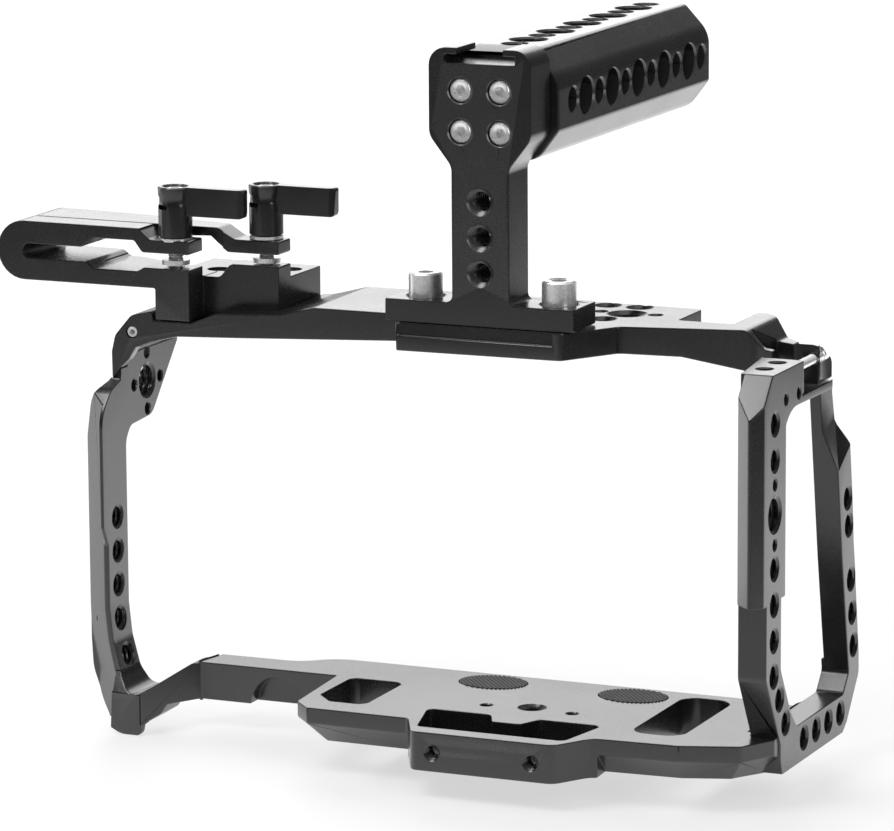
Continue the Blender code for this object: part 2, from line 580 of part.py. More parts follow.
clear_scene()
PARTS = new_collection("camera_cage_rig")
CUTTERS = new_collection("cutters")
TRIPOD_HOLE = new_reference("tripod_hole", (0, -ORIGIN_BEHIND_HOLE, 0), PARTS)
ALUMINIUM = principled("black_anodised", (0.018, 0.018, 0.02), 0.42, 0.85)
STEEL = principled("bright_steel", (0.72, 0.72, 0.7), 0.28, 1.0)
RUBBER = principled("rubber", (0.05, 0.05, 0.052), 0.85, 0.0)

lower_frame()
top_plate()
handle_stem()
handle_grip()
clamp_body()
for label, centre, height in (("front", FRONT_AXIS, FRONT_HUB_Z), ("rear", REAR_AXIS, REAR_HUB_Z)):
    clamp_lever(label + "_lever", centre, height)
    clamp_stud(label + "_stud", centre, height)
    disc(label + "_lever_cap", 5.8, 1.2, (*centre, height + HUB_HEIGHT - 1.8), STEEL, 16)
for label, side in (("left", -1), ("right", 1)):
    disc("friction_pad_" + label, 17.0, 0.7, (side * 19.75, 20.4, 9.5), RUBBER)
    bolt_x = HANDLE_X + side * BOLT_SPACING / 2
    socket_screw("foot_bolt_" + label, 8.7, 5.0, 7.0, 12.0, (bolt_x, BOLT_Y, FOOT_Z[1] - 0.9), (0, 0, 1),
                 STEEL, 4.4)
for number, (x, z) in enumerate(GRIP_SCREWS, 1):
    socket_screw("grip_screw_%d" % number, 5.5, 3.0, 1.2, 15.5, (x, -0.8, z), (0, -1, 0), STEEL, 2.6)
for number, (x, y) in enumerate(CLAMP_SCREWS, 1):
    socket_screw("clamp_screw_%d" % number, 5.8, 3.0, 2.0, 11.0, (x, y, 108.8), (0, 0, 1), STEEL, 2.8)
socket_screw("joint_screw_left", 3.0, 2.4, 1.6, 5.0, (JOINT_LEFT[0], 9.9, JOINT_LEFT[1]), (0, -1, 0),
             STEEL, 1.6)
socket_screw("joint_screw_right", 2.7, 2.5, 1.6, 24.0, (JOINT_RIGHT[0], 27.4, JOINT_RIGHT[1]), (0, 1, 0),
             STEEL, 1.6)
bpy.data.collections.remove(CUTTERS)
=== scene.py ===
"""Looks of the camera cage: fine meshes, finishes, floor, light and camera.

Dimensions are millimetres from the tripod hole's axis, at the underside of the base plate.
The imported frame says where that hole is, and each piece is moved there when it is finished.
"""
import math

import bmesh
import bpy
from mathutils import Matrix, Vector


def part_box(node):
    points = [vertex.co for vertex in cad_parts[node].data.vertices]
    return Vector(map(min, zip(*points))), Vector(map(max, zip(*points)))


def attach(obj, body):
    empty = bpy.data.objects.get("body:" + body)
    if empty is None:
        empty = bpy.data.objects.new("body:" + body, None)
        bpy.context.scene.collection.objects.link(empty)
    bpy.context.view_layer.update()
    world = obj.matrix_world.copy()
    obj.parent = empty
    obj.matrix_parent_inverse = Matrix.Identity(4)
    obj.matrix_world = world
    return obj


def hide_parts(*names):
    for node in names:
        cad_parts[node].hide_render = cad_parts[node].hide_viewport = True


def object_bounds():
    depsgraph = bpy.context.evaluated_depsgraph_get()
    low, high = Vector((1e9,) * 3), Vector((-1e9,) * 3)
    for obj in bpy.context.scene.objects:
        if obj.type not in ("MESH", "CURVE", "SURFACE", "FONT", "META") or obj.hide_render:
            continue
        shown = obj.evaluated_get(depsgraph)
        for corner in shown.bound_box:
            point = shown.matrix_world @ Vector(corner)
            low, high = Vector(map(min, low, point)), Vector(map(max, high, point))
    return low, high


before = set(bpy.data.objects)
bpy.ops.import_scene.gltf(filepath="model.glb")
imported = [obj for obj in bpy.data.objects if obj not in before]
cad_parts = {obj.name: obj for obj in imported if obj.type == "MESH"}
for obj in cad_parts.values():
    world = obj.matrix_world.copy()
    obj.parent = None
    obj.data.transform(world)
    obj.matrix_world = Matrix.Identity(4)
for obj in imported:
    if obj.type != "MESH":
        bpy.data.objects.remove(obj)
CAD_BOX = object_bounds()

# Finish of the meshes: sides of a hole, steps of an arc, width of a broken edge, the thinnest step that
# counts as an edge, and the gap between two pieces
MM = 0.001
HOLE_SIDES = 32
ARC_STEPS = 8
EDGE = 0.35
THIN = 0.2
GAP = 0.3

# Cage
BASE_TOP = 10.0
RIGHT_IN, RIGHT_OUT = 60.6, 68.1
REAR_IN = 61.3
LEFT_IN, LEFT_OUT = -118.5, -126.7
FOOT_BOTTOM = -7.1
COLUMN_Y = -9.2
TOP_BLOCK = 101.7
QUARTER_INCH = (6.35, 1.27)
THREE_EIGHTHS = (9.525, 1.5875)
M3 = (3.2, 0.5)
HOLE_PITCH = 9.0
PAD_SIZE = (18.0, 13.6)
PAD_PLACE = (19.3, 20.4)
LOCATING_PITCH = 7.5

# Top plate
PLATE_UNDER, PLATE_TOP = 100.0, 106.9
PLATE_FRONT, PLATE_BACK = 7.9, 42.4
LEG_BACK = 11.0

# Handle
HANDLE_X = -12.3
HANDLE_FRONT, HANDLE_BACK = -3.1, 9.4
FOOT_Z = (107.2, 112.8)
FOOT_BACK = 12.6
STEM_HOLES_Z = (120.5, 129.5, 138.5)
HEAD_TOP = 176.7
GRIP_TOP = 175.4
GRIP_Y = (9.7, 115.0)
GRIP_HOLE_Z = 162.0
GRIP_HOLE_PITCH = 17.9
BOLT_SPACING = 36.2
BOLT_Y = 4.4
GRIP_SCREWS = [(HANDLE_X + side * 5.25, z) for z in (166.1, 155.8) for side in (-1, 1)]

# Cable clamp
CLAMP_FRONT = 7.9
CLAMP_FLOOR = 100.9
FRONT_AXIS = (-104.2, 12.1)
REAR_AXIS = (-82.3, 20.5)
FRONT_HUB_Z = 122.3
REAR_HUB_Z = 122.9
HUB_HEIGHT = 13.1
LUG_TOP = 121.7
LUG_UNDER = 118.2
CLAMP_SCREWS = [(-99.0, 27.0), (-82.0, 33.5)]
CLAMP_SCREW_SEAT = 108.5
JOINT_LEFT = (-115.3, 97.2)
JOINT_RIGHT = (66.2, 100.0)

# Camera: where it stands, which way it looks, its lens in millimetres and the shift of its frame
CAMERA_STAND = (504.3, -1203.7, 340.8)
CAMERA_AZIMUTH = math.radians(23.648)
CAMERA_ELEVATION = math.radians(11.093)
CAMERA_ROLL = math.radians(-0.367)
CAMERA_LENS = 214.79
CAMERA_SHIFT = (-0.00054, 0.00067)

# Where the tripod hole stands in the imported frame, and how an outline's plane lies for each axis
HOLE_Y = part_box("handle_grip")[0].y / MM - GRIP_Y[0]
AXES = {
    "X": Matrix(((0, 0, 1), (1, 0, 0), (0, 1, 0))),
    "Y": Matrix(((1, 0, 0), (0, 0, -1), (0, 1, 0))),
    "Z": Matrix.Identity(3),
}


# Modelling kit

def place(name, mesh):
    made = bpy.data.objects.new(name, mesh)
    bpy.context.scene.collection.objects.link(made)
    return made


def from_bmesh(name, body):
    mesh = bpy.data.meshes.new(name)
    body.to_mesh(mesh)
    body.free()
    return place(name, mesh)


def evaluated(item):
    """The item's mesh with its modifiers applied."""
    bpy.context.view_layer.update()
    graph = bpy.context.evaluated_depsgraph_get()
    return bpy.data.meshes.new_from_object(item.evaluated_get(graph))


def prism(name, outline, axis, low, high):
    """A flat outline swept along an axis from low to high.

    The outline is in (Y, Z) for axis X, in (X, Z) for axis Y and in (X, Y) for axis Z.
    """
    start, finish = (-high, -low) if axis == "Y" else (low, high)
    body = bmesh.new()
    ring = [body.verts.new((u * MM, v * MM, start * MM)) for u, v in outline]
    bmesh.ops.remove_doubles(body, verts=ring, dist=0.00001)
    flat = body.faces.new(list(body.verts))
    made = bmesh.ops.extrude_face_region(body, geom=[flat])
    risen = [part for part in made["geom"] if isinstance(part, bmesh.types.BMVert)]
    bmesh.ops.translate(body, verts=risen, vec=(0, 0, (finish - start) * MM))
    bmesh.ops.transform(body, verts=body.verts, matrix=AXES[axis].to_4x4())
    bmesh.ops.recalc_face_normals(body, faces=body.faces)
    return from_bmesh(name, body)


def rounded(points, radius, steps=None):
    """The outline with arcs for corners; radius is one value, or one per corner with 0 after the last."""
    steps = steps or ARC_STEPS
    sizes = [radius] * len(points) if isinstance(radius, (int, float)) else radius + [0] * len(points)
    made = []
    for index, point in enumerate(points):
        size = sizes[index]
        corner = Vector(point)
        before = Vector(points[index - 1]) - corner
        after = Vector(points[(index + 1) % len(points)]) - corner
        turn = before.angle(after)
        if size <= 0 or turn > math.radians(176):
            made.append(tuple(corner))
            continue
        reach = min(size / math.tan(turn / 2), before.length * 0.49, after.length * 0.49)
        size = reach * math.tan(turn / 2)
        middle = corner + (before.normalized() + after.normalized()).normalized() * (
            size / math.sin(turn / 2))
        start = corner + before.normalized() * reach - middle
        finish = corner + after.normalized() * reach - middle
        sweep = start.angle_signed(finish)
        for step in range(steps + 1):
            angle = math.atan2(start.y, start.x) - sweep * step / steps
            made.append((middle.x + size * math.cos(angle), middle.y + size * math.sin(angle)))
    return made


def turned(name, profile, sides=HOLE_SIDES, start=(0, 0, 0), direction=(0, 0, 1)):
    """A solid of revolution from (radius, height) points, set at a point and along a direction.

    The volume's sign is what says which way is out: the other test goes by one vertex, and on the small
    heads of the joint screws it comes out either way.
    """
    body = bmesh.new()
    points = [(0.0, profile[0][1])] + list(profile) + [(0.0, profile[-1][1])]
    chain = [body.verts.new((r * MM, 0, z * MM)) for r, z in points]
    edges = [body.edges.new(pair) for pair in zip(chain, chain[1:])]
    bmesh.ops.spin(body, geom=edges + chain, cent=(0, 0, 0), axis=(0, 0, 1),
                   angle=2 * math.pi, steps=sides, use_merge=True)
    bmesh.ops.remove_doubles(body, verts=body.verts, dist=0.000002)
    bmesh.ops.recalc_face_normals(body, faces=body.faces)
    if body.calc_volume(signed=True) < 0:
        bmesh.ops.reverse_faces(body, faces=body.faces)
    way = Vector(direction).normalized().to_track_quat("Z", "Y").to_matrix().to_4x4()
    bmesh.ops.transform(body, verts=body.verts, matrix=Matrix.Translation(Vector(start) * MM) @ way)
    return from_bmesh(name, body)


def rod(name, start, direction, diameter, length, sides=HOLE_SIDES):
    radius = diameter / 2
    return turned(name, [(radius, 0), (radius, length)], sides, start, direction)


def box(name, low, high):
    body = bmesh.new()
    bmesh.ops.create_cube(body, size=1)
    bmesh.ops.scale(body, verts=body.verts, vec=(Vector(high) - Vector(low)) * MM)
    bmesh.ops.translate(body, verts=body.verts, vec=(Vector(high) + Vector(low)) / 2 * MM)
    return from_bmesh(name, body)


def hull(name, points):
    """The convex solid around a few points."""
    body = bmesh.new()
    for point in points:
        body.verts.new(Vector(point) * MM)
    bmesh.ops.convex_hull(body, input=body.verts)
    bmesh.ops.recalc_face_normals(body, faces=body.faces)
    return from_bmesh(name, body)


def lofted(name, rings):
    """The closed solid through flat rings of points, each ring with as many points as the next."""
    body = bmesh.new()
    loops = [[body.verts.new(Vector(point) * MM) for point in ring] for ring in rings]
    for low, high in zip(loops, loops[1:]):
        for index in range(len(low)):
            body.faces.new((low[index - 1], low[index], high[index], high[index - 1]))
    body.faces.new(loops[0])
    body.faces.new(loops[-1])
    bmesh.ops.recalc_face_normals(body, faces=body.faces)
    return from_bmesh(name, body)


def edge_wedge(start, finish):
    """What the lower chamfer takes off under one straight edge of the base plate."""
    run = (Vector(finish) - Vector(start)).normalized()
    outward = Vector((run.y, -run.x))
    section = [(-7.6, -1.0), (1.0, -1.0), (1.0, 6.9)]
    return hull("wedge", [(*(Vector(end) + outward * across), z) for end in (start, finish)
                          for across, z in section])


def combine(target, other, operation):
    """Changes the target's mesh by a Boolean with the other object, which is then removed."""
    modifier = target.modifiers.new(operation.title(), "BOOLEAN")
    modifier.operation = operation
    modifier.solver = "EXACT"
    modifier.object = other
    target.data = evaluated(target)
    target.modifiers.clear()
    bpy.data.objects.remove(other, do_unlink=True)
    return target


def add(target, *others):
    for other in others:
        combine(target, other, "UNION")
    return target


def cut(target, *others):
    for other in others:
        combine(target, other, "DIFFERENCE")
    return target


def common(target, other):
    return combine(target, other, "INTERSECT")


def gathered(items):
    """Several separate cutters as one object, so that one Boolean serves them all."""
    body = bmesh.new()
    for item in items:
        body.from_mesh(item.data)
        bpy.data.objects.remove(item, do_unlink=True)
    return from_bmesh("gathered", body)


def mark_edges(item, angle=24):
    """Notes which edges are sharp now, so that holes cut later keep their own edges.

    A step thinner than THIN, left where two parts of one piece meet, is no edge to be rounded.
    """
    body = bmesh.new()
    body.from_mesh(item.data)
    weight = body.edges.layers.float.new("bevel_weight_edge")
    for edge in body.edges:
        if edge.is_manifold and edge.calc_face_angle() > math.radians(angle):
            across = min(face.calc_area() for face in edge.link_faces) / edge.calc_length()
            edge[weight] = 1.0 if across > THIN * MM else 0.0
    body.to_mesh(item.data)
    body.free()
    return item


def soften(item, width=EDGE, segments=2):
    """Breaks the marked edges with a small round, the way a deburred and blasted edge is."""
    modifier = item.modifiers.new("Edges", "BEVEL")
    modifier.width = width * MM
    modifier.segments = segments
    modifier.limit_method = "WEIGHT"
    modifier.use_clamp_overlap = False
    item.data = evaluated(item)
    item.modifiers.clear()
    return item


def hole(start, direction, diameter, length, sink=0.3, through=True):
    """A plain drilled hole from a face, with its mouth broken, and its far end too if it goes through."""
    radius = diameter / 2
    profile = [(radius + sink, -2.0), (radius + sink, 0.0), (radius, sink)]
    if through:
        profile += [(radius, length - sink), (radius + sink, length), (radius + sink, length + 2.0)]
    else:
        profile += [(radius, length), (0.01, length + radius * 0.6)]
    return turned("hole", profile, HOLE_SIDES, start, direction)


def tapped(start, direction, thread, length, sink=0.15, through=True):
    """A threaded hole from a face: countersunk mouth, then rings at the thread's pitch."""
    diameter, pitch = thread
    major = diameter / 2
    minor = major - 0.5 * pitch
    mouth = major + sink
    slope = sink + 0.3 * pitch
    finish = length - slope if through else length
    profile = [(mouth, -2.0), (mouth, 0.0), (major, sink), (minor, slope)]
    depth = slope + pitch * 0.2
    while depth + pitch < finish:
        profile += [(minor, depth), (major, depth + pitch * 0.4), (major, depth + pitch * 0.55),
                    (minor, depth + pitch * 0.95)]
        depth += pitch
    if through:
        profile += [(minor, finish), (major, length - sink), (mouth, length), (mouth, length + 2.0)]
    else:
        profile += [(minor, finish), (0.01, finish + minor * 0.6)]
    return turned("tapped", profile, HOLE_SIDES, start, direction)


def finish(item, name, material, body, slot, node=None, angle=32, origin=(0, 0, 0)):
    """Names the piece, gives it its finish, moves it to the frame and lets it ride on its body."""
    item.name = name
    item.data.name = name
    item.data.materials.clear()
    item.data.materials.append(material)
    item.data.transform(Matrix.Translation((Vector(origin) + Vector((0, HOLE_Y, 0))) * MM))
    item.data.shade_smooth()
    item.data.set_sharp_from_angle(angle=math.radians(angle))
    normals = item.modifiers.new("Face normals", "WEIGHTED_NORMAL")
    normals.keep_sharp = True
    normals.weight = 100
    item.data = evaluated(item)
    item.modifiers.clear()
    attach(item, body)
    if node:
        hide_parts(node)
    return item


# Finishes

def new_material(name):
    made = bpy.data.materials.new(name)
    made.use_nodes = True
    return made, made.node_tree, made.node_tree.nodes["Principled BSDF"]


def noise(tree, scale, detail=2.0, roughness=0.5):
    where = tree.nodes.new("ShaderNodeTexCoord")
    made = tree.nodes.new("ShaderNodeTexNoise")
    made.inputs["Scale"].default_value = scale
    made.inputs["Detail"].default_value = detail
    made.inputs["Roughness"].default_value = roughness
    tree.links.new(where.outputs["Object"], made.inputs["Vector"])
    return made.outputs["Fac"]


def mapped(tree, value, low, high, to_low, to_high):
    made = tree.nodes.new("ShaderNodeMapRange")
    made.inputs["From Min"].default_value = low
    made.inputs["From Max"].default_value = high
    made.inputs["To Min"].default_value = to_low
    made.inputs["To Max"].default_value = to_high
    tree.links.new(value, made.inputs["Value"])
    return made.outputs["Result"]


def summed(tree, first, second, operation="ADD"):
    made = tree.nodes.new("ShaderNodeMath")
    made.operation = operation
    for socket, value in zip(made.inputs, (first, second)):
        if isinstance(value, (int, float)):
            socket.default_value = value
        else:
            tree.links.new(value, socket)
    return made.outputs["Value"]


def grey(tree, value):
    made = tree.nodes.new("ShaderNodeCombineColor")
    for socket in made.inputs:
        tree.links.new(value, socket)
    return made.outputs["Color"]


def bumped(tree, height, distance, strength=1.0):
    made = tree.nodes.new("ShaderNodeBump")
    made.inputs["Distance"].default_value = distance * MM
    made.inputs["Strength"].default_value = strength
    tree.links.new(height, made.inputs["Height"])
    return made.outputs["Normal"]


def anodised(name, shade=0.008, roughness=0.24, ior=1.6, grain=0.006):
    """Black anodised aluminium, bead blasted: a fine grain, faint patches and a painted highlight that
    makes convex edges paler.
    """
    made, tree, shader = new_material(name)
    fine = noise(tree, 3800, 3.0, 0.65)
    patch = noise(tree, 45, 3.0)
    geometry = tree.nodes.new("ShaderNodeNewGeometry")
    # painted highlight: pointiness lightens the colour on convex edges
    edge_highlight = mapped(tree, geometry.outputs["Pointiness"], 0.53, 0.62, 0.0, 0.018)
    speck = mapped(tree, fine, 0.35, 0.7, shade * 0.7, shade * 1.5)
    colour = summed(tree, summed(tree, speck, mapped(tree, patch, 0.3, 0.7, -0.001, 0.002)), edge_highlight)
    tree.links.new(grey(tree, colour), shader.inputs["Base Color"])
    rough = summed(tree, mapped(tree, fine, 0.3, 0.7, roughness - 0.05, roughness + 0.05),
                   mapped(tree, patch, 0.3, 0.7, -0.02, 0.02))
    tree.links.new(rough, shader.inputs["Roughness"])
    tree.links.new(bumped(tree, fine, grain), shader.inputs["Normal"])
    shader.inputs["IOR"].default_value = ior
    return made


def steel(name, shade=0.62, roughness=0.24):
    """Bright plated steel with a fine grain and small differences in polish."""
    made, tree, shader = new_material(name)
    fine = noise(tree, 2500, 3.0, 0.6)
    patch = noise(tree, 300, 2.0)
    tree.links.new(grey(tree, mapped(tree, patch, 0.3, 0.7, shade * 0.88, shade * 1.1)),
                   shader.inputs["Base Color"])
    tree.links.new(mapped(tree, fine, 0.3, 0.7, roughness - 0.06, roughness + 0.08),
                   shader.inputs["Roughness"])
    tree.links.new(bumped(tree, fine, 0.006), shader.inputs["Normal"])
    shader.inputs["Metallic"].default_value = 0.75
    return made


def rubber(name):
    made, tree, shader = new_material(name)
    fine = noise(tree, 3000, 3.0, 0.6)
    tree.links.new(grey(tree, mapped(tree, fine, 0.3, 0.7, 0.03, 0.055)), shader.inputs["Base Color"])
    tree.links.new(mapped(tree, fine, 0.3, 0.7, 0.6, 0.8), shader.inputs["Roughness"])
    tree.links.new(bumped(tree, fine, 0.02), shader.inputs["Normal"])
    return made


ALUMINIUM = anodised("blasted_black_anodising")
LEVER_BLACK = anodised("lever_black", 0.01, 0.22)
STEEL = steel("bright_plated_steel", 0.85, 0.3)
RUBBER = rubber("ribbed_rubber")


# Lower frame: base plate, right loop and left column, machined as one piece

BASE_OUTLINE = [
    (-18.9, -33.1), (19.3, -33.1), (25.6, -23.0), (47.9, -21.8), (62.4, -16.8), (67.6, -7.4),
    (67.6, 26.3), (44.1, 28.9), (-66.9, 29.4), (-75.5, 22.5), (-97.5, 22.2), (-99.5, 12.2),
    (-59.9, 12.2), (-59.7, 9.6), (-57.9, -15.9), (-52.8, -21.4), (-24.6, -21.6),
]
BASE_RADII = [2.5, 4, 5, 2, 2, 1, 0, 4, 14, 10, 0, 0, 0, 0, 1, 1, 2]


def base_plate():
    """The plate with the chamfer under its edge, its three pockets and the relief in its left arm."""
    plate = prism("base", rounded(BASE_OUTLINE, BASE_RADII), "Z", 0, BASE_TOP)
    for start, finish in (((-59.8, 11.0), (-57.9, -16.9)), ((-58.9, -14.9), (-51.8, -22.4)),
                          ((-54.0, -21.4), (-24.4, -21.6)), ((27.0, -23.0), (49.0, -21.8)),
                          ((45.0, -22.8), (64.0, -16.2)), ((61.0, -19.2), (70.0, -3.0))):
        cut(plate, edge_wedge(start, finish))
    left_pocket = rounded([(-55.3, -7.6), (-50.0, -13.2), (-40.5, -13.2), (-40.5, 11.5), (-55.3, 11.5)],
                          [1.5, 1.5, 2.5, 2.5, 2.5])
    right_pocket = rounded([(31.6, -13.4), (45.1, -13.4), (45.1, 24.9), (31.6, 24.9)], 4.5)
    cut(plate, prism("left_pocket", left_pocket, "Z", -1, 11))
    cut(plate, prism("right_pocket", right_pocket, "Z", -1, 11))
    tool_pocket = rounded([(-19.4, -27.9), (19.9, -27.9), (23.2, -10.6), (6.4, -10.6), (3.6, -16.8),
                           (-3.9, -16.8), (-6.7, -10.6), (-24.1, -10.6)], 1.8)
    cut(plate, prism("tool_pocket", tool_pocket, "Z", 3.2, 11))
    cut(plate, rod("bar_relief", (-76.4, 11, -0.3), (0, 1, 0), 16.4, 5.6, 48))
    return plate


def pad_disc(name, side, margin, floor):
    """An oval disc the size of a friction pad and a margin around it, standing on a floor height."""
    disc = rod(name, (0, 0, 0), (0, 0, 1), 2, 2, 64)
    disc.data.transform(Matrix.Diagonal((PAD_SIZE[0] / 2 + margin, PAD_SIZE[1] / 2 + margin, 1, 1)))
    disc.data.transform(Matrix.Translation(Vector((side * PAD_PLACE[0], PAD_PLACE[1], floor)) * MM))
    return disc


def base_holes():
    """The tripod hole, its locating holes, the seats of the pads and the two front screw holes."""
    made = [tapped((0, 0, BASE_TOP), (0, 0, -1), QUARTER_INCH, BASE_TOP, 0.6)]
    for side in (-1, 1):
        made += [hole((side * 11.7, -1.9, BASE_TOP), (0, 0, -1), 3.0, 4.0, through=False),
                 pad_disc("pad_seat", side, GAP, 9.4),
                 tapped((side * 13.2, -33.1, 4.9), (0, 1, 0), (4.2, 0.7), 7.0, through=False)]
    return made


RIGHT_LOOP = [
    (-3.0, 0.0), (42.0, 0.0), (45.1, 2.1), (54.1, 13.2), (53.9, 19.0), (49.3, 48.7), (46.0, 75.3),
    (42.6, 88.0), (42.6, 89.9), (32.0, 93.2), (10.2, 93.2), (10.2, TOP_BLOCK + 1), (-10.2, TOP_BLOCK + 1),
    (-14.8, 92.0), (-14.8, 26.4), (-4.3, 8.0), (-4.3, 4.0),
]
RIGHT_WINDOW = [
    (3.2, 14.6), (7.6, 10.05), (42.0, 10.05), (46.3, 14.9), (44.6, 23.7), (40.6, 45.3), (33.4, 90.9),
    (-3.7, 91.3), (-3.7, 48.5), (-4.1, 44.5), (-4.1, 27.0),
]


def right_loop():
    """The loop on the +X side: window, rail with flared edges, top block, scoop and thinner rear column."""
    window = rounded(RIGHT_WINDOW, [3, 3, 2, 2, 0, 0, 1, 10, 0, 0, 4])
    loop = prism("loop", rounded(RIGHT_LOOP, [1, 1, 3, 4, 0, 0, 0, 0, 1, 0, 0, 0, 1, 0, 3, 2, 1]),
                 "X", RIGHT_IN, RIGHT_OUT)
    cut(loop, prism("window", window, "X", RIGHT_IN - 1, RIGHT_OUT + 1))
    half_flat, half_wide, half_root = 7.75, 10.4, 6.1
    rail = [(RIGHT_IN, -half_root), (64.9, -half_wide), (65.5, -half_wide), (RIGHT_OUT, -half_flat),
            (RIGHT_OUT, half_flat), (65.5, half_wide), (64.9, half_wide), (RIGHT_IN, half_root)]
    add(loop, prism("rail", [(x, y + COLUMN_Y) for x, y in rail], "Z", 45.0, TOP_BLOCK + 1))
    block = [(59.6, -10.9), (RIGHT_OUT, -11.2), (RIGHT_OUT, 11.0), (56.8, 11.0)]
    add(loop, prism("block", block, "Z", 93.4, TOP_BLOCK + 1))
    slope = [(-30, 70.0), (-30, 80.1), (-11.0, TOP_BLOCK), (20, TOP_BLOCK), (20, 105), (-30, 105)]
    cut(loop, prism("top_slope", slope, "X", 55, 72))
    cut(loop, hull("scoop", [(68.3, 37.0, 68.2), (68.3, 46.6, 74.4), (64.4, 37.6, 79.0), (64.4, 46.0, 81.0),
                             (64.4, 32.4, 79.0), (68.3, 32.4, 68.2), (64.4, 46.0, 93.0),
                             (64.4, 32.4, 93.0), (72.0, 32.4, 93.0), (72.0, 46.6, 93.0),
                             (72.0, 32.4, 68.2), (72.0, 46.6, 74.4)]))
    cut(loop, box("thinner_rear", (55, 33.6, 18.0), (REAR_IN, 60, 91.3)))
    return loop


def right_holes():
    """The threaded holes through the rail, the loop's foot and its rear column."""
    def through(y, z, thread=QUARTER_INCH, inner=RIGHT_IN):
        return tapped((RIGHT_OUT, y, z), (-1, 0, 0), thread, RIGHT_OUT - inner)

    made = [through(COLUMN_Y, z) for z in (26.4, 35.4, 44.4, 53.4, 80.4, 89.4)]
    made += [through(COLUMN_Y, 66.9, THREE_EIGHTHS), through(-5.1, 19.7), through(-0.6, 12.7)]
    made += [through(COLUMN_Y, 66.9 + side * LOCATING_PITCH, M3) for side in (-1, 1)]
    made += [through(12.9 + index * HOLE_PITCH, 5.7) for index in range(4)]
    made += [through(y, z, inner=REAR_IN) for y, z in ((44.4, 60.6), (45.4, 53.4), (47.3, 39.0),
                                                       (48.5, 30.1), (49.7, 21.4))]
    made += [through(y, 94.2, M3, 57.0) for y in (-1.6, 7.5)]
    return made


def right_top_holes():
    """These meet the side holes, so each is cut on its own."""
    made = [tapped((63.0, y, TOP_BLOCK), (0, 0, -1), (4.6, 0.7), 6.0, through=False) for y in (-3.2, 5.9)]
    return made + [rod("screw_seat", (JOINT_RIGHT[0], 1.5, JOINT_RIGHT[1]), (0, 1, 0), 2.9, 12)]


COLUMN_SIDE = [
    (-2.6, FOOT_BOTTOM - 1), (-4.1, FOOT_BOTTOM - 1), (-4.1, 4.0), (-1.0, 9.0), (-1.0, 42.0), (-3.5, 47.0),
    (-3.5, 77.0), (2.0, 82.6), (7.4, 84.5), (7.7, 86.0), (7.7, 90.4), (40.9, 90.4),
    (40.9, 89.5), (25.5, 72.2), (13.0, 71.4), (10.2, 68.0), (10.2, -1.0), (-1.0, -4.2),
]
COLUMN_FRONT = [
    (LEFT_IN, 91.0), (LEFT_IN, 25.0), (-117.6, 16.5), (-115.4, 8.2), (-112.4, 4.2), (-108.5, 3.6),
    (-108.5, FOOT_BOTTOM), (-114.5, FOOT_BOTTOM), (-119.0, -4.8), (-123.6, 0.5), (-126.3, 8.0),
    (LEFT_OUT, 16.0), (LEFT_OUT, 70.0), (-124.8, 79.3), (-120.9, 85.6), (-120.9, 91.0),
]


def left_column():
    """The slim column with its lobe above, its facet outside and its foot and arm to the base plate."""
    side = rounded(COLUMN_SIDE, [0, 0, 1, 1, 1, 1, 10, 6, 0, 0, 0, 1, 2, 5, 3, 5, 1, 0])
    column = prism("column", side, "X", LEFT_OUT - 1, -100)
    front = rounded(COLUMN_FRONT, [0, 20, 10, 6, 4, 1, 1.5, 6, 10, 14, 14, 14, 10, 10, 4, 0])
    common(column, prism("column_front", front, "Y", -10, 45))
    facet = [(-131, -6), (-119.4, -6), (-119.6, -1.2), (-126.9, 3.9), (-131, 3.9)]
    cut(column, lofted("facet", [[(x + shift, y, z) for x, y in facet] for z, shift in (
        (-12, 1.7), (2.0, 2.4), (8.2, 2.7), (16.5, 0.9), (25, 0), (95, 0))]))
    plan = [(-110, -4.1), (-108.5, -4.1), (-98.8, 12.25), (-94, 12.25), (-94, 22.1), (-97.5, 20.9),
            (-101.5, 15.8), (-107.5, 10.0), (-110, 10.0)]
    arm = prism("arm", plan, "Z", -8, 12)
    ramp = [(-110, 3.8), (-108.9, 3.9), (-100.4, 9.95), (-93, 9.95), (-93, 0.05), (-104.4, 0.05),
            (-105.4, -2.2), (-108.4, -4.2), (-110, -4.2)]
    common(arm, prism("arm_front", ramp, "Y", -10, 30))
    leg_seat = [(-130, 84.4), (-120.9, 84.4), (-118.8, 87.2), (-116.0, 89.9), (-110.0, 95.0), (-130, 95.0)]
    cut(column, prism("leg_seat", leg_seat, "Y", 7.5, LEG_BACK + GAP))
    return add(column, arm)


def left_holes():
    """The four accessory holes in the column and the one in its foot."""
    made = [tapped((LEFT_IN, 4.4, 21.8 + index * HOLE_PITCH), (-1, 0, 0), QUARTER_INCH, 5.4, through=False)
            for index in range(4)]
    made.append(tapped((-116.6, 5.0, 12.1), (-1, 0, -0.25), QUARTER_INCH, 5.6, through=False))
    return made


def lobe_holes():
    """The lobe's threaded hole and four locating holes; each is cut on its own, to keep the mesh closed."""
    y, z = 22.7, 81.7
    made = [tapped((LEFT_IN, y, z), (-1, 0, 0), THREE_EIGHTHS, LEFT_IN - LEFT_OUT)]
    for dy, dz in ((0, 1), (0, -1), (1, 0), (-1, 0)):
        start = (LEFT_IN, y + dy * LOCATING_PITCH, z + dz * LOCATING_PITCH)
        made.append(hole(start, (-1, 0, 0), 3.0, 2.5, through=False))
    return made


def lower_frame():
    frame_piece = add(base_plate(), right_loop(), left_column())
    mark_edges(frame_piece)
    cut(frame_piece, gathered(base_holes() + right_holes()), gathered(left_holes()), *lobe_holes(),
        *right_top_holes())
    soften(frame_piece)
    finish(frame_piece, "fine_lower_frame", ALUMINIUM, "cage", "black_anodised", "lower_frame")


# Top plate

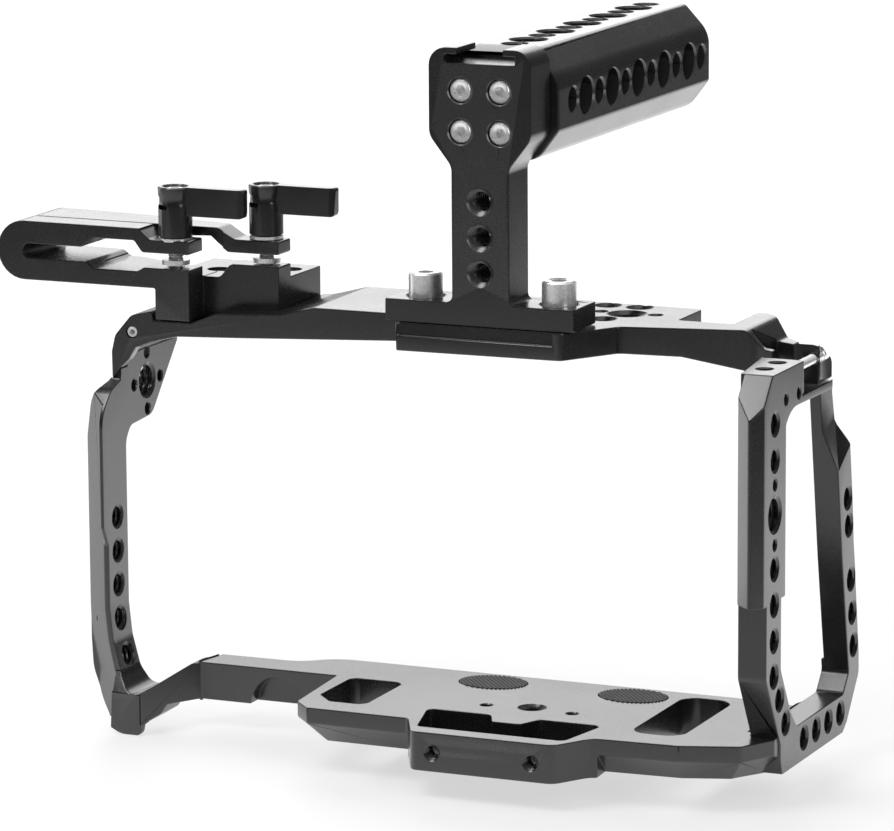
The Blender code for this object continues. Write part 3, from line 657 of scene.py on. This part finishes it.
PLATE_PROFILE = [
    (-121.2, 84.8), (-121.3, 91.7), (-120.3, 96.0), (-115.5, 101.6), (-109.5, 103.0), (-109.0, 100.6),
    (-98.2, 100.6), (-91.5, 103.4), (-73.0, 104.4), (-63.5, PLATE_TOP), (50.3, PLATE_TOP),
    (54.6, 102.4), (59.5, 101.8), (61.5, 103.6), (RIGHT_OUT, 103.6), (RIGHT_OUT, 93.6), (60.5, 93.6),
    (51.6, 96.2), (34.4, 99.6),
    (19.0, PLATE_UNDER), (-41.0, 99.7), (-84.2, 97.5), (-102.3, 96.7), (-110.0, 94.8),
    (-114.2, 93.2), (-116.3, 89.8), (-118.6, 87.6), (-120.7, 84.8),
]
PLATE_PROFILE_RADII = [0, 0, 4, 3, 0.5, 0.3, 3, 3, 3, 3, 3, 2, 1, 3, 2, 1, 2]
PLATE_PLAN = [
    (-121.6, PLATE_FRONT), (-36.8, PLATE_FRONT), (-35.2, -4.1), (9.6, -4.1), (19.3, 10.9), (53.0, 18.5),
    (57.3, 17.6), (57.3, 20.4), (50.2, 20.4), (54.2, 29.8), (61.0, 29.8), (61.0, 22.2),
    (RIGHT_OUT, 22.2), (RIGHT_OUT, 33.0), (58.5, 33.3), (47.0, 42.8), (44.1, 42.4), (44.1, 25.2),
    (29.4, 25.2), (29.4, PLATE_BACK), (-90.0, PLATE_BACK), (-104.0, 39.9), (-121.6, 39.9),
]
PLATE_PLAN_RADII = [0, 0.5, 1, 2, 3, 2, 0, 1, 1, 1, 1, 0.5, 0.5, 2, 4, 1, 0.5, 1, 1, 1, 0, 0, 1]
PLATE_HOLES = [
    (5.1, 38.8, QUARTER_INCH), (13.8, 38.9, QUARTER_INCH), (14.2, 29.0, THREE_EIGHTHS),
    (6.7, 29.9, M3), (21.6, 29.9, M3), (11.3, 20.1, QUARTER_INCH),
]


def top_plate():
    """The bridge over the cage: boss in front, seat for the clamp, leg at the left and lug at the right."""
    plate = prism("plate", rounded(PLATE_PROFILE, PLATE_PROFILE_RADII), "Y", -10, 50)
    common(plate, prism("plan", rounded(PLATE_PLAN, PLATE_PLAN_RADII), "Z", 80, 120))
    cut(plate, box("behind_leg", (-125, LEG_BACK, 80), (-110, 50, 90.8)),
        box("beside_lobe", (LEFT_IN + 0.2, LEG_BACK, 80), (-104, 50, 95.6)))
    seat = [(-109.0, 6.0), (-98.2, 6.0), (-98.2, 15.6), (-76.6, 15.6), (-76.6, 43.0), (-109.0, 43.0)]
    cut(plate, prism("clamp_seat", seat, "Z", 100.6, 110))
    cut(plate, prism("boss_step", [(-36.4, -6), (7.8, -6), (6.9, -3.1), (-34.4, -3.1)], "Z", 103.6, 110))
    lug_back = [(33.1, 94.2), (31.5, 99.0), (27.5, 102.2), (22.4, 103.5), (20, 106), (45, 106), (45, 94.2)]
    cut(plate, prism("lug_back", lug_back, "X", 58.6, 70))
    cut(plate, rod("lug_hollow", (RIGHT_OUT + 10.8, 27.2, 85), (0, 0, 1), 23.6, 25, 128))
    mark_edges(plate)
    holes = [tapped((x, y, PLATE_TOP), (0, 0, -1), thread, PLATE_TOP - PLATE_UNDER, 0.5)
             for x, y, thread in PLATE_HOLES]
    for side in (-1, 1):
        x = HANDLE_X + side * BOLT_SPACING / 2
        holes.append(rod("bolt_seat", (x, BOLT_Y, 95), (0, 0, 1), 5.6, 15))
    for (x, z), front, length in ((JOINT_LEFT, 7.0, 9), (JOINT_RIGHT, 20.0, 20)):
        holes.append(rod("joint_seat", (x, front, z), (0, 1, 0), 3.3, length))
    for x, y in CLAMP_SCREWS:
        holes.append(rod("clamp_screw_seat", (x, y, 95), (0, 0, 1), 3.6, 10))
    cut(plate, gathered(holes))
    soften(plate)
    finish(plate, "fine_top_plate", ALUMINIUM, "cage", "black_anodised", "top_plate")


# Handle

def handle_stem():
    """The handle's foot, stem and head, with the cold shoe in its top."""
    x = HANDLE_X
    outline = [
        (x - 26.1, FOOT_Z[0]), (x + 25.0, FOOT_Z[0]), (x + 25.0, FOOT_Z[1]), (x + 7.8, FOOT_Z[1]),
        (x + 7.8, 147.0), (x + 13.8, 154.6), (x + 13.8, HEAD_TOP), (x - 13.8, HEAD_TOP),
        (x - 13.8, 154.6), (x - 7.8, 147.0), (x - 7.8, FOOT_Z[1]), (x - 26.1, FOOT_Z[1]),
    ]
    radii = [0.5, 0.5, 0.5, 1.6, 4, 5, 4.6, 4.6, 5, 4, 1.6, 0.5]
    stem = prism("stem", rounded(outline, radii), "Y", HANDLE_FRONT, HANDLE_BACK)
    foot = rounded([(x - 26.1, HANDLE_FRONT), (x + 25.0, HANDLE_FRONT), (x + 25.0, FOOT_BACK),
                    (x - 26.1, FOOT_BACK)], 1.6)
    add(stem, prism("foot", foot, "Z", *FOOT_Z))
    shoe = [(x - 9.4, 172.9), (x + 9.4, 172.9), (x + 9.4, 175.0), (x + 6.2, 175.0), (x + 6.2, 180),
            (x - 6.2, 180), (x - 6.2, 175.0), (x - 9.4, 175.0)]
    cut(stem, prism("shoe", shoe, "Y", -10, 20))
    mark_edges(stem)
    thickness = HANDLE_BACK - HANDLE_FRONT
    holes = [tapped((x, HANDLE_FRONT, z), (0, 1, 0), QUARTER_INCH, thickness, 0.45) for z in STEM_HOLES_Z]
    for side in (-1, 1):
        bolt_x = x + side * BOLT_SPACING / 2
        holes.append(turned("bolt_hole", [(2.8, -8.0), (2.8, -1.2), (4.8, -1.2), (4.8, -0.4), (5.3, 0.1),
                                          (5.3, 2.0)], 48, (bolt_x, BOLT_Y, FOOT_Z[1])))
    for screw_x, screw_z in GRIP_SCREWS:
        holes.append(turned("screw_hole", [(3.5, -2.0), (3.5, 0.0), (3.2, 0.3), (3.2, 2.3), (1.8, 2.3),
                                           (1.8, 14.0)], 48, (screw_x, HANDLE_FRONT, screw_z), (0, 1, 0)))
    cut(stem, gathered(holes))
    soften(stem)
    finish(stem, "fine_handle_stem", ALUMINIUM, "cage", "black_anodised", "handle_stem")


def handle_grip():
    """The faceted tube with its alternating large and small holes."""
    x = HANDLE_X
    half = 15.9
    outline = [(x - 10, 147.5), (x + 10, 147.5), (x + half, 155.2), (x + half, 168.0),
               (x + 9.0, GRIP_TOP), (x - 9.0, GRIP_TOP), (x - half, 168.0), (x - half, 155.2)]
    grip = prism("grip", rounded(outline, [6, 6, 2, 8, 2, 2, 8, 2]), "Y", *GRIP_Y)
    ramp = [(9, 174.2), (9.7, 174.2), (17.0, GRIP_TOP + 0.1), (17.0, 178), (9, 178)]
    cut(grip, prism("shoe_ramp", ramp, "X", x - 9.4, x + 9.4))
    mark_edges(grip)
    cut(grip, hole((x, GRIP_Y[1], 160.5), (0, -1, 0), 19, GRIP_Y[1] - GRIP_Y[0] - 12, 0.5, through=False))
    cross = []
    for first, count, (diameter, _) in ((28.5, 5, THREE_EIGHTHS), (19.6, 6, QUARTER_INCH)):
        for index in range(count):
            y = first + index * GRIP_HOLE_PITCH
            cross.append(hole((x - half, y, GRIP_HOLE_Z), (1, 0, 0), diameter, 2 * half, 0.5))
            cross.append(hole((x, y, GRIP_TOP), (0, 0, -1), diameter, 10.0, 0.5, through=False))
    cut(grip, *cross)
    soften(grip, 0.6)
    finish(grip, "fine_handle_grip", ALUMINIUM, "cage", "black_anodised", "handle_grip")


# Cable clamp

HAIRPIN = [
    (-154.0, 109.0), (-108.4, 109.0), (-108.4, CLAMP_FLOOR), (-77.0, CLAMP_FLOOR), (-77.0, 115.2),
    (-90.8, 115.2), (-93.8, 111.6), (-98.2, 111.6), (-98.2, 114.3), (-111.5, 114.3), (-113.5, 113.2),
    (-126.0, 113.2), (-128.4, 114.8), (-146.6, 114.8), (-146.6, 118.6), (-129.6, 118.6),
    (-126.0, 121.2), (-114.3, 121.2), (-112.0, LUG_UNDER), (-98.2, LUG_UNDER), (-96.8, 122.0),
    (-91.5, LUG_UNDER), (-77.0, LUG_UNDER), (-77.0, LUG_TOP), (-89.5, LUG_TOP), (-94.6, 124.4),
    (-154.0, 124.6),
]
HAIRPIN_RADII = [7.8, 0.5, 0.3, 0.5, 0.5, 2, 2, 0, 0, 1, 1, 1, 2, 1.9, 1.9, 1, 2, 1, 1, 0, 0, 1, 0.5, 0.5,
                 2, 3, 7.8]


def clamp_body():
    """The hairpin with its two arms, the two posts at its front and the blocks that are screwed down."""
    body = prism("hairpin", rounded(HAIRPIN, HAIRPIN_RADII), "Y", CLAMP_FRONT, 44.6)
    front = rounded([(-113.4, 130), (-112.6, 124.0), (-109.8, LUG_TOP), (-98.6, LUG_TOP), (-98.6, 98),
                     (-70, 98), (-70, 130)], [0, 1, 1.5, 0.5])
    cut(body, prism("front_cut", front, "Y", 5, 16.3))
    cut(body, prism("under_rear_arm", [(-118, 121.0), (-96.6, 122.1), (-93.6, 119.6), (-93.6, 116.5),
                                       (-118, 116.5)], "Y", 16.6, 50))
    cut(body, prism("behind_post", [(-127, 116), (-127, 113.6), (-107.4, 111.8), (-97, 111.7),
                                          (-97, 116)], "Y", 16.3, 50))
    plan = [(-156, 5.0), (-75.0, 5.0), (-75.0, 41.9), (-108.0, 41.9), (-108.0, 28.5), (-118.6, 29.3),
            (-156, 32.6)]
    common(body, prism("rear_plan", plan, "Z", 90, 130))
    upper = [(-118.6, 29.35), (-90.5, 23.8), (-70, 23.8), (-70, 50), (-118.6, 50)]
    cut(body, prism("upper_back", upper, "Z", 116, 130))
    cut(body, box("low_block", (-93.4, 23.8, 111.7), (-70, 50, 117)))
    cut(body, box("split", (-146.8, 16.25, 116.7), (-93, 16.9, 130)))
    mark_edges(body)
    holes = [rod("stud_hole", (*centre, 103.5), (0, 0, 1), 4.6, 25) for centre in (FRONT_AXIS, REAR_AXIS)]
    recess = [(1.9, -13.5), (1.9, 0.0), (3.3, 0.0), (3.3, 6.0)]
    holes += [turned("screw_hole", recess, HOLE_SIDES, (x, y, CLAMP_SCREW_SEAT)) for x, y in CLAMP_SCREWS]
    cut(body, gathered(holes))
    soften(body, 0.3)
    finish(body, "fine_clamp_body", ALUMINIUM, "cage", "black_anodised", "clamp_body")


def clamp_lever(label, axis, hub_z):
    """The hub with its waist and its window, and the flat arm."""
    profile = [(4.2, 0.0), (4.4, 0.2), (4.4, 8.0), (4.1, 8.5), (4.1, 10.2), (4.4, 10.7), (4.5, 12.8),
               (4.2, HUB_HEIGHT)]
    hub = turned("hub", profile, 64)
    outline = rounded([(2.5, 5.6), (19.6, 5.6), (20.1, HUB_HEIGHT), (2.5, HUB_HEIGHT)], [0, 0.8, 0.8, 0])
    arm = prism("arm", outline, "Y", -1.8, 1.8)
    tip = [(0, -1.8), (18.6, -1.8), (20.2, -0.6), (20.2, 1.2), (19.6, 1.8), (0, 1.8)]
    common(arm, prism("tip", tip, "Z", 0, 20))
    mark_edges(arm)
    soften(arm, 0.25)
    add(hub, arm)
    cut(hub, rod("stud_bore", (0, 0, -1), (0, 0, 1), 4.6, 10, 48),
        box("window", (-3.3, -5, 7.3), (-0.3, -1.5, 8.5)),
        turned("cap_seat", [(3.2, -2.2), (3.2, -0.3), (3.5, 0.0), (3.5, 2.0)], 48, (0, 0, HUB_HEIGHT)))
    finish(hub, "fine_%s_lever" % label, LEVER_BLACK, label + "_cap_lever", "black_anodised",
           label + "_lever", origin=(*axis, hub_z))


def thread_profile(low, high, radius, pitch):
    """The ridges of a thread, as (radius, height) points for a turned solid."""
    depth = 0.32 * pitch
    made = [(radius - depth, low)]
    height = low + pitch * 0.25
    while height < high - pitch * 0.5:
        made += [(radius, height), (radius, height + pitch * 0.15), (radius - depth, height + pitch * 0.5)]
        height += pitch
    return made + [(radius - depth, high)]


def clamp_stud(label, axis, hub_z):
    """A threaded stud with a collar under the upper arm and a washer under the lever."""
    radius, pitch, core = 2.0, 0.8, 1.7
    collar = [(3.6, -7.2), (3.6, -6.0), (core, -6.0)]
    washer = [(4.4, -1.0), (4.4, -0.2), (core, -0.2)]
    profile = thread_profile(-15.5, -7.2, radius, pitch) + collar
    profile += thread_profile(-6.0, -1.0, radius, pitch) + washer
    profile += thread_profile(-0.2, 8.6, radius, pitch)
    finish(turned("stud", profile, 40), "fine_%s_stud" % label, STEEL, "cage", "bright_steel",
           label + "_stud", origin=(*axis, hub_z))


def lever_cap(label, axis, hub_z):
    """The screw that holds the lever, with a hexagon socket in its slightly domed head."""
    cap = turned("cap", [(2.7, 0.0), (2.9, 0.2), (2.9, 0.9), (2.5, 1.2), (1.5, 1.35)], 40)
    cut(cap, rod("socket", (0, 0, 0.5), (0, 0, 1), 2.6, 2, 6))
    finish(cap, "fine_%s_lever_cap" % label, STEEL, label + "_cap_lever", "bright_steel",
           label + "_lever_cap", origin=(*axis, hub_z + HUB_HEIGHT - 1.8))


# Fasteners and pads

def socket_screw(name, head, shank, height, length, origin, towards, socket, knurled=False, pitch=0.5):
    """A socket screw with a thread; origin is under its head and towards is the way the head points."""
    radius = head / 2
    rim = min(0.5, height * 0.3)
    profile = thread_profile(-length, -0.3, shank / 2, pitch)
    profile += [(shank / 2, 0), (radius - rim * 0.6, 0), (radius, rim * 0.6), (radius, height - rim),
                (radius - rim, height), (socket / 2 + 0.55, height), (socket / 2 + 0.3, height - 0.15)]
    screw = turned(name, profile, 72 if knurled else 48)
    if knurled:
        for vertex in screw.data.vertices:
            across = Vector(vertex.co.xy)
            if across.length > (radius - 0.02) * MM:
                side = round(math.atan2(across.y, across.x) / math.tau * 72) % 2
                vertex.co.xy = across * (1 - 0.009 * side)
    cut(screw, rod("socket", (0, 0, height * 0.45 - 0.6), (0, 0, 1), socket, height + 1, 6))
    way = Vector(towards).to_track_quat("Z", "Y").to_matrix().to_4x4()
    screw.data.transform(way)
    finish(screw, "fine_" + name, STEEL, "cage", "bright_steel", name, origin=origin)


def friction_pad(label, side):
    """An oval rubber pad with diagonal ribs."""
    base, top, pitch = 0.35, 0.75, 1.0
    ribs = [(-12.0, 0.0)]
    for index in range(-11, 11):
        left = index * pitch
        ribs += [(left, base), (left + 0.3, top), (left + 0.7, top)]
    ribs += [(11.0, base), (11.0, 0.0)]
    sheet = prism("ribs", ribs, "Y", -12, 12)
    sheet.data.transform(Matrix.Rotation(math.radians(40), 4, "Z"))
    sheet.data.transform(Matrix.Translation(Vector((side * PAD_PLACE[0], PAD_PLACE[1], 9.5)) * MM))
    pad = common(pad_disc("pad", side, 0.0, 9.5), sheet)
    finish(pad, "fine_friction_pad_" + label, RUBBER, "cage", "rubber", "friction_pad_" + label)


# Studio

def studio_world():
    """A dim room with a pale wall behind the object and above it; plain white to the camera."""
    world = bpy.data.worlds.new("studio")
    bpy.context.scene.world = world
    world.use_nodes = True
    tree = world.node_tree
    shine = tree.nodes["Background"]
    where = tree.nodes.new("ShaderNodeTexCoord")
    split = tree.nodes.new("ShaderNodeSeparateXYZ")
    tree.links.new(where.outputs["Generated"], split.inputs[0])
    towards = tree.nodes.new("ShaderNodeVectorMath")
    towards.operation = "DOT_PRODUCT"
    towards.inputs[1].default_value = (-math.sin(CAMERA_AZIMUTH), math.cos(CAMERA_AZIMUTH), 0)
    tree.links.new(where.outputs["Generated"], towards.inputs[0])
    behind = mapped(tree, towards.outputs["Value"], 0.78, 0.95, 0.0, 0.58)
    above = mapped(tree, split.outputs["Z"], 0.3, 0.8, 0.0, 0.5)
    level = summed(tree, summed(tree, behind, above, "MAXIMUM"), 0.08)
    path = tree.nodes.new("ShaderNodeLightPath")
    seen = summed(tree, path.outputs["Is Camera Ray"], level, "MAXIMUM")
    tree.links.new(grey(tree, seen), shine.inputs["Color"])


def softbox(name, azimuth, distance, low, high, width, radiance):
    """An upright soft light around the object; azimuth 0 is in front and 90 degrees is at +X."""
    light = bpy.data.lights.new(name, "AREA")
    light.shape = "RECTANGLE"
    light.size, light.size_y = width, high - low
    light.energy = radiance * math.pi * width * (high - low)
    made = place(name, light)
    made.visible_camera = False
    way = Vector((math.sin(math.radians(azimuth)), -math.cos(math.radians(azimuth)), 0))
    middle = (Vector(CAD_BOX[0]) + Vector(CAD_BOX[1])) / 2
    made.location = (*(middle + way * distance).xy, (low + high) / 2)
    made.rotation_euler = way.to_track_quat("Z", "Y").to_euler()
    return made


def hung_softbox(name, azimuth, elevation, distance, size, radiance):
    """A square soft light on a boom, aimed at the object."""
    light = bpy.data.lights.new(name, "AREA")
    light.size = size
    light.energy = radiance * math.pi * size * size
    made = place(name, light)
    made.visible_camera = False
    turn, rise = math.radians(azimuth), math.radians(elevation)
    way = Vector((math.sin(turn) * math.cos(rise), -math.cos(turn) * math.cos(rise), math.sin(rise)))
    made.location = (Vector(CAD_BOX[0]) + Vector(CAD_BOX[1])) / 2 + way * distance
    made.rotation_euler = way.to_track_quat("Z", "Y").to_euler()
    return made


def chosen(tree, switch, when_on, when_off):
    made = tree.nodes.new("ShaderNodeMix")
    tree.links.new(switch, made.inputs["Factor"])
    for socket, value in zip(made.inputs[2:4], (when_off, when_on)):
        if isinstance(value, (int, float)):
            socket.default_value = value
        else:
            tree.links.new(value, socket)
    return made.outputs["Result"]


def studio_floor():
    """A white table that glows: to the camera a painted glow, weaker around the object, over faint real
    shading; in reflections a painted pool of light near the object, darker in front and at its edges.
    """
    body = bmesh.new()
    bmesh.ops.create_circle(body, cap_ends=True, segments=64, radius=6.0)
    floor = from_bmesh("floor", body)
    floor.location.z = CAD_BOX[0][2]
    made, tree, shader = new_material("pale_floor")
    where = tree.nodes.new("ShaderNodeTexCoord").outputs["Object"]
    seen = tree.nodes.new("ShaderNodeLightPath").outputs["Is Camera Ray"]

    def reach(scale, shift):
        spread = tree.nodes.new("ShaderNodeVectorMath")
        spread.operation = "MULTIPLY_ADD"
        tree.links.new(where, spread.inputs[0])
        spread.inputs[1].default_value = scale
        spread.inputs[2].default_value = shift
        length = tree.nodes.new("ShaderNodeVectorMath")
        length.operation = "LENGTH"
        tree.links.new(spread.outputs["Vector"], length.inputs[0])
        return length.outputs["Value"]

    # painted light pool: in reflections the table is brighter near the object and darker in front and at
    # its edges
    painted_light_pool = mapped(tree, reach((1.4, 1, 0), (0.21, -0.1, 0)), 0.55, 0.9, 1.0, 0.12)
    split = tree.nodes.new("ShaderNodeSeparateXYZ")
    tree.links.new(where, split.inputs[0])
    painted_light_pool = summed(tree, painted_light_pool, mapped(tree, split.outputs["Y"], -0.15, 0.1, 0.62, 1.15), "MULTIPLY")
    paper = mapped(tree, noise(tree, 900, 2.0), 0.3, 0.7, 0.92, 0.95)
    lit = summed(tree, painted_light_pool, paper, "MULTIPLY")
    tree.links.new(grey(tree, chosen(tree, seen, 0.25, lit)), shader.inputs["Base Color"])
    # painted glow: to the camera the table glows, less around the object as painted shade; in reflections
    # it glows as the painted pool of light
    painted_camera_glow = mapped(tree, reach((1, 1, 0), (0, 0, 0)), 0.35, 1.2, 0.62, 1.0)
    glow = chosen(tree, seen, painted_camera_glow, summed(tree, painted_light_pool, 0.45, "MULTIPLY"))
    tree.links.new(glow, shader.inputs["Emission Strength"])
    shader.inputs["Emission Color"].default_value = (1, 1, 1, 1)
    shader.inputs["Roughness"].default_value = 0.6
    floor.data.materials.append(made)


def studio_camera():
    """Seen from a little right of the front and a little above, with a long lens."""
    azimuth, elevation, roll = CAMERA_AZIMUTH, CAMERA_ELEVATION, CAMERA_ROLL
    back = Vector((math.sin(azimuth) * math.cos(elevation), -math.cos(azimuth) * math.cos(elevation),
                   math.sin(elevation)))
    right = Vector((math.cos(azimuth), math.sin(azimuth), 0))
    up = back.cross(right)
    across = right * math.cos(roll) + up * math.sin(roll)
    upward = up * math.cos(roll) - right * math.sin(roll)
    data = bpy.data.cameras.new("camera")
    data.sensor_width = 36
    data.lens = CAMERA_LENS
    data.shift_x, data.shift_y = CAMERA_SHIFT
    data.clip_end = 20
    made = place("camera", data)
    turn = Matrix((across, upward, back)).transposed()
    x, y, z = CAMERA_STAND
    stand = Vector((x, y + HOLE_Y, z)) * MM
    made.matrix_world = Matrix.Translation(stand) @ turn.to_4x4()
    bpy.context.scene.camera = made


lower_frame()
top_plate()
handle_stem()
handle_grip()
clamp_body()
for label, centre, height in (("front", FRONT_AXIS, FRONT_HUB_Z), ("rear", REAR_AXIS, REAR_HUB_Z)):
    clamp_lever(label, centre, height)
    clamp_stud(label, centre, height)
    lever_cap(label, centre, height)
for label, side in (("left", -1), ("right", 1)):
    friction_pad(label, side)
    bolt_x = HANDLE_X + side * BOLT_SPACING / 2
    socket_screw("foot_bolt_" + label, 8.7, 5.0, 7.0, 12.0, (bolt_x, BOLT_Y, FOOT_Z[1] - 0.9), (0, 0, 1),
                 4.4, knurled=True)
for number, (x, z) in enumerate(GRIP_SCREWS, 1):
    socket_screw("grip_screw_%d" % number, 6.0, 3.0, 1.6, 15.5, (x, -1.2, z), (0, -1, 0), 2.6)
for number, (x, y) in enumerate(CLAMP_SCREWS, 1):
    socket_screw("clamp_screw_%d" % number, 5.8, 3.0, 2.0, 11.0, (x, y, CLAMP_SCREW_SEAT + GAP),
                 (0, 0, 1), 2.8)
socket_screw("joint_screw_left", 3.0, 2.4, 1.6, 5.0, (JOINT_LEFT[0], 9.9, JOINT_LEFT[1]),
             (0, -1, 0), 1.6)
socket_screw("joint_screw_right", 2.7, 2.5, 1.6, 24.0, (JOINT_RIGHT[0], 27.4, JOINT_RIGHT[1]),
             (0, 1, 0), 1.6)

studio_world()
studio_floor()
hung_softbox("top_softbox", azimuth=0, elevation=90, distance=1.2, size=1.0, radiance=0.8)
hung_softbox("key_softbox", azimuth=-42, elevation=54, distance=0.9, size=0.45, radiance=7.3)
softbox("back_softbox", azimuth=203.6, distance=0.9, low=0.22, high=1.0, width=0.8, radiance=2.0)
softbox("left_softbox", azimuth=-97, distance=0.8, low=0.0, high=0.6, width=0.5, radiance=3.0)
softbox("right_strip", azimuth=63, distance=0.5, low=0.15, high=0.6, width=0.14, radiance=4.5)
studio_camera()
bpy.context.scene.view_settings.view_transform = "Standard"
